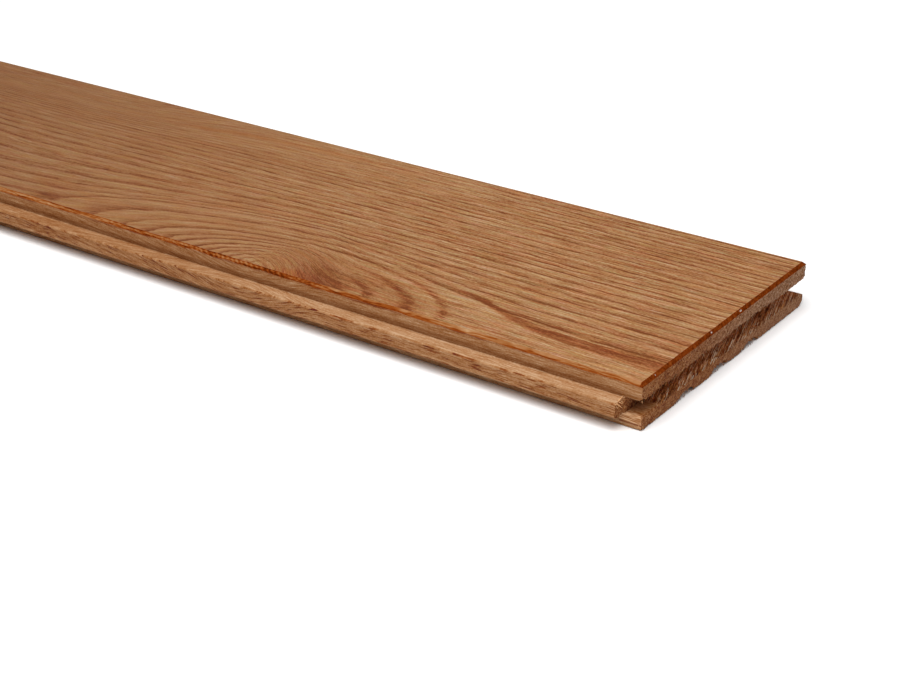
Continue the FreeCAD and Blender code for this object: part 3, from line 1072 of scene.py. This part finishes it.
def strand():
    """One fibre a millimetre thick and long, bent over towards its tip. Every fibre is a copy of it."""
    bpy.ops.object.select_all(action="DESELECT")
    bpy.ops.mesh.primitive_cone_add(
        vertices=5, radius1=0.5 * MM, radius2=0.12 * MM, depth=MM, location=(0.0, 0.0, 0.5 * MM),
    )
    made = bpy.context.active_object
    bpy.ops.object.transform_apply(location=True, rotation=True, scale=True)
    bpy.ops.object.mode_set(mode="EDIT")
    for level in (0.25, 0.5, 0.75):
        bpy.ops.mesh.select_all(action="SELECT")
        bpy.ops.mesh.bisect(plane_co=(0.0, 0.0, level * MM), plane_no=(0.0, 0.0, 1.0))
    for level, shift in ((0.25, 0.02), (0.5, 0.08), (0.75, 0.18), (1.0, 0.3)):
        take(made, "vertices", lambda spot: abs(spot.co.z - level * MM) < 0.01 * MM)
        bpy.ops.transform.translate(value=(shift * MM, 0.0, 0.0))
    bpy.ops.object.mode_set(mode="OBJECT")
    return made


def lay(model, root, way, length, thick, roll):
    """A copy of the strand, rooted at a place given in millimetres and pointing one way."""
    made = model.copy()
    made.data = model.data.copy()
    bpy.context.scene.collection.objects.link(made)
    made.location = (NEAR_END + root[0] * MM, FRONT + root[1] * MM, FACE + root[2] * MM)
    made.scale = (thick, 0.6 * thick, length)
    made.rotation_mode = "QUATERNION"
    made.rotation_quaternion = Vector(way).to_track_quat("Z", "Y") @ Quaternion((0.0, 0.0, 1.0), roll)
    return made


def torn_fibres():
    """All that stands out of the end groove, hangs from its upper lip or frays the end of the long tongue."""
    chance = random.Random(FIBRE_SEED)
    model = strand()
    made = []
    for start, end, count in FRAYED:
        for _ in range(count):
            across = chance.uniform(start, end)
            back = chance.uniform(0.3, 4.2)
            way = (chance.uniform(-0.3, 0.0), chance.uniform(0.6, 1.0), chance.uniform(0.5, 1.0))
            length = chance.uniform(2.4, 5.4)
            made.append(lay(
                model, (-back, across, -LOWER_LIP - 0.3), way, length, chance.uniform(0.22, 0.52),
                chance.uniform(0.0, 6.0),
            ))
    for _ in range(HANGING):
        root = (-chance.uniform(0.4, 1.6), chance.uniform(4.0, 108.0), -UPPER_LIP + 0.5)
        way = (chance.uniform(-0.3, 0.0), chance.uniform(-0.6, 0.6), -1.0)
        made.append(lay(
            model, root, way, chance.uniform(1.0, 2.6), chance.uniform(0.14, 0.3), chance.uniform(0.0, 6.0),
        ))
    for root, way, length, thick in SPLINTERS:
        made.append(lay(model, root, way, length, thick, chance.uniform(0.0, 6.0)))
    for _ in range(CHANNEL_FRAYS):
        across = chance.choice(CHANNELS) + chance.uniform(-5.0, 5.0)
        way = (chance.uniform(-0.2, 0.1), chance.uniform(-0.6, 0.6), -1.0)
        made.append(lay(
            model, (-chance.uniform(0.5, 1.5), across, -16.6), way, chance.uniform(0.8, 1.7),
            chance.uniform(0.16, 0.4), chance.uniform(0.0, 6.0),
        ))
    for _ in range(FUZZ):
        root = (-chance.uniform(0.3, 0.9), chance.uniform(1.5, 125.5), -18.42)
        way = (chance.uniform(-0.1, 0.05), chance.uniform(-0.9, 0.9), -1.0)
        made.append(lay(
            model, root, way, chance.uniform(0.35, 0.62), chance.uniform(0.2, 0.42), chance.uniform(0.0, 6.0),
        ))
    bpy.data.objects.remove(model)
    bpy.ops.object.select_all(action="DESELECT")
    for piece in made:
        piece.select_set(True)
    bpy.context.view_layer.objects.active = made[0]
    bpy.ops.object.join()
    fibres = bpy.context.active_object
    bpy.ops.object.transform_apply(location=True, rotation=True, scale=True)
    fibres.name = "torn_fibres"
    return fibres


def chips():
    """Small flakes of lacquer that have come loose along the end's bevel."""
    made = []
    along, depth = CHIP_PLACE
    for across, long, turn in CHIPS:
        bpy.ops.object.select_all(action="DESELECT")
        bpy.ops.mesh.primitive_ico_sphere_add(
            subdivisions=3, radius=0.5 * MM,
            location=(NEAR_END + along * MM, FRONT + across * MM, FACE + depth * MM),
            rotation=(math.radians(turn), math.radians(45.0), 0.0), scale=(0.7, long, 0.3),
        )
        piece = bpy.context.active_object
        bpy.ops.object.transform_apply(location=True, rotation=True, scale=True)
        dents = bpy.data.textures.new("dents", "CLOUDS")
        dents.noise_scale = 0.5 * MM
        push = piece.modifiers.new("dents", "DISPLACE")
        push.texture = dents
        push.mid_level = 0.5
        push.strength = 0.3 * MM
        bpy.ops.object.modifier_apply(modifier="dents")
        made.append(piece)
    bpy.ops.object.select_all(action="DESELECT")
    for piece in made:
        piece.select_set(True)
    bpy.context.view_layer.objects.active = made[0]
    bpy.ops.object.join()
    bpy.context.active_object.name = "lacquer_chips"
    return bpy.context.active_object


# The studio


def camera():
    """The photo's own view."""
    data = bpy.data.cameras.new("camera")
    data.lens = LENS
    data.sensor_width = SENSOR
    data.clip_start = 0.01
    data.clip_end = 100.0
    made = bpy.data.objects.new("camera", data)
    bpy.context.scene.collection.objects.link(made)
    made.location = VIEWPOINT
    tilt = math.pi / 2 - math.radians(VIEW_ELEVATION)
    turn = Euler((tilt, 0.0, math.radians(VIEW_AZIMUTH))).to_quaternion()
    made.rotation_mode = "QUATERNION"
    made.rotation_quaternion = turn @ Quaternion((0.0, 0.0, 1.0), math.radians(VIEW_ROLL))
    bpy.context.scene.camera = made


def hang(light, way, place=(0.0, 0.0, 0.0)):
    """Puts a light in its place, shining one way."""
    made = bpy.data.objects.new(light.name, light)
    bpy.context.scene.collection.objects.link(made)
    made.location = place
    made.rotation_mode = "QUATERNION"
    made.rotation_quaternion = way.to_track_quat("-Z", "Y")


def lights():
    """Soft light from all round, from above and from beside the grooved end."""
    world = bpy.data.worlds.new("studio")
    bpy.context.scene.world = world
    world.use_nodes = True
    air = world.node_tree.nodes["Background"]
    air.inputs["Color"].default_value = (1.0, 1.0, 1.0, 1.0)
    air.inputs["Strength"].default_value = AIR_LIGHT
    key = bpy.data.lights.new("key", "SUN")
    key.energy = KEY_LIGHT
    key.angle = math.radians(KEY_SPREAD)
    hang(key, Vector(KEY_WAY))
    softbox = bpy.data.lights.new("near", "AREA")
    softbox.shape = "RECTANGLE"
    softbox.size, softbox.size_y = SOFTBOX_SIZE
    softbox.energy = SOFTBOX_LIGHT
    hang(softbox, Vector(SOFTBOX_TARGET) - Vector(SOFTBOX_PLACE), SOFTBOX_PLACE)


def pale_floor():
    """The plain floor that the board lies on."""
    bpy.ops.mesh.primitive_plane_add(size=FLOOR_SIZE, location=(0.0, 0.0, 0.0))
    floor = bpy.context.active_object
    floor.name = "studio_floor"
    pale = bpy.data.materials.new("pale floor")
    pale.use_nodes = True
    shader = pale.node_tree.nodes["Principled BSDF"]
    shader.inputs["Base Color"].default_value = (0.92, 0.92, 0.92, 1.0)
    shader.inputs["Roughness"].default_value = 0.9
    floor.data.materials.append(pale)


growth = oak_growth()
board = milled_board()
wear(board)
dress(board, {
    "face": face_finish(growth),
    "bevel": bevel_finish(growth),
    "end": end_finish(growth),
    "bare": bare_finish(growth),
})
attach(board, BODY)
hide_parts(NODE)

for piece, finish in ((torn_fibres(), fibre_finish(growth)), (chips(), chip_finish(growth))):
    piece.data.materials.clear()
    piece.data.materials.append(finish)
    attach(piece, BODY)

camera()
lights()
pale_floor()
bpy.context.scene.view_settings.view_transform = "Standard"
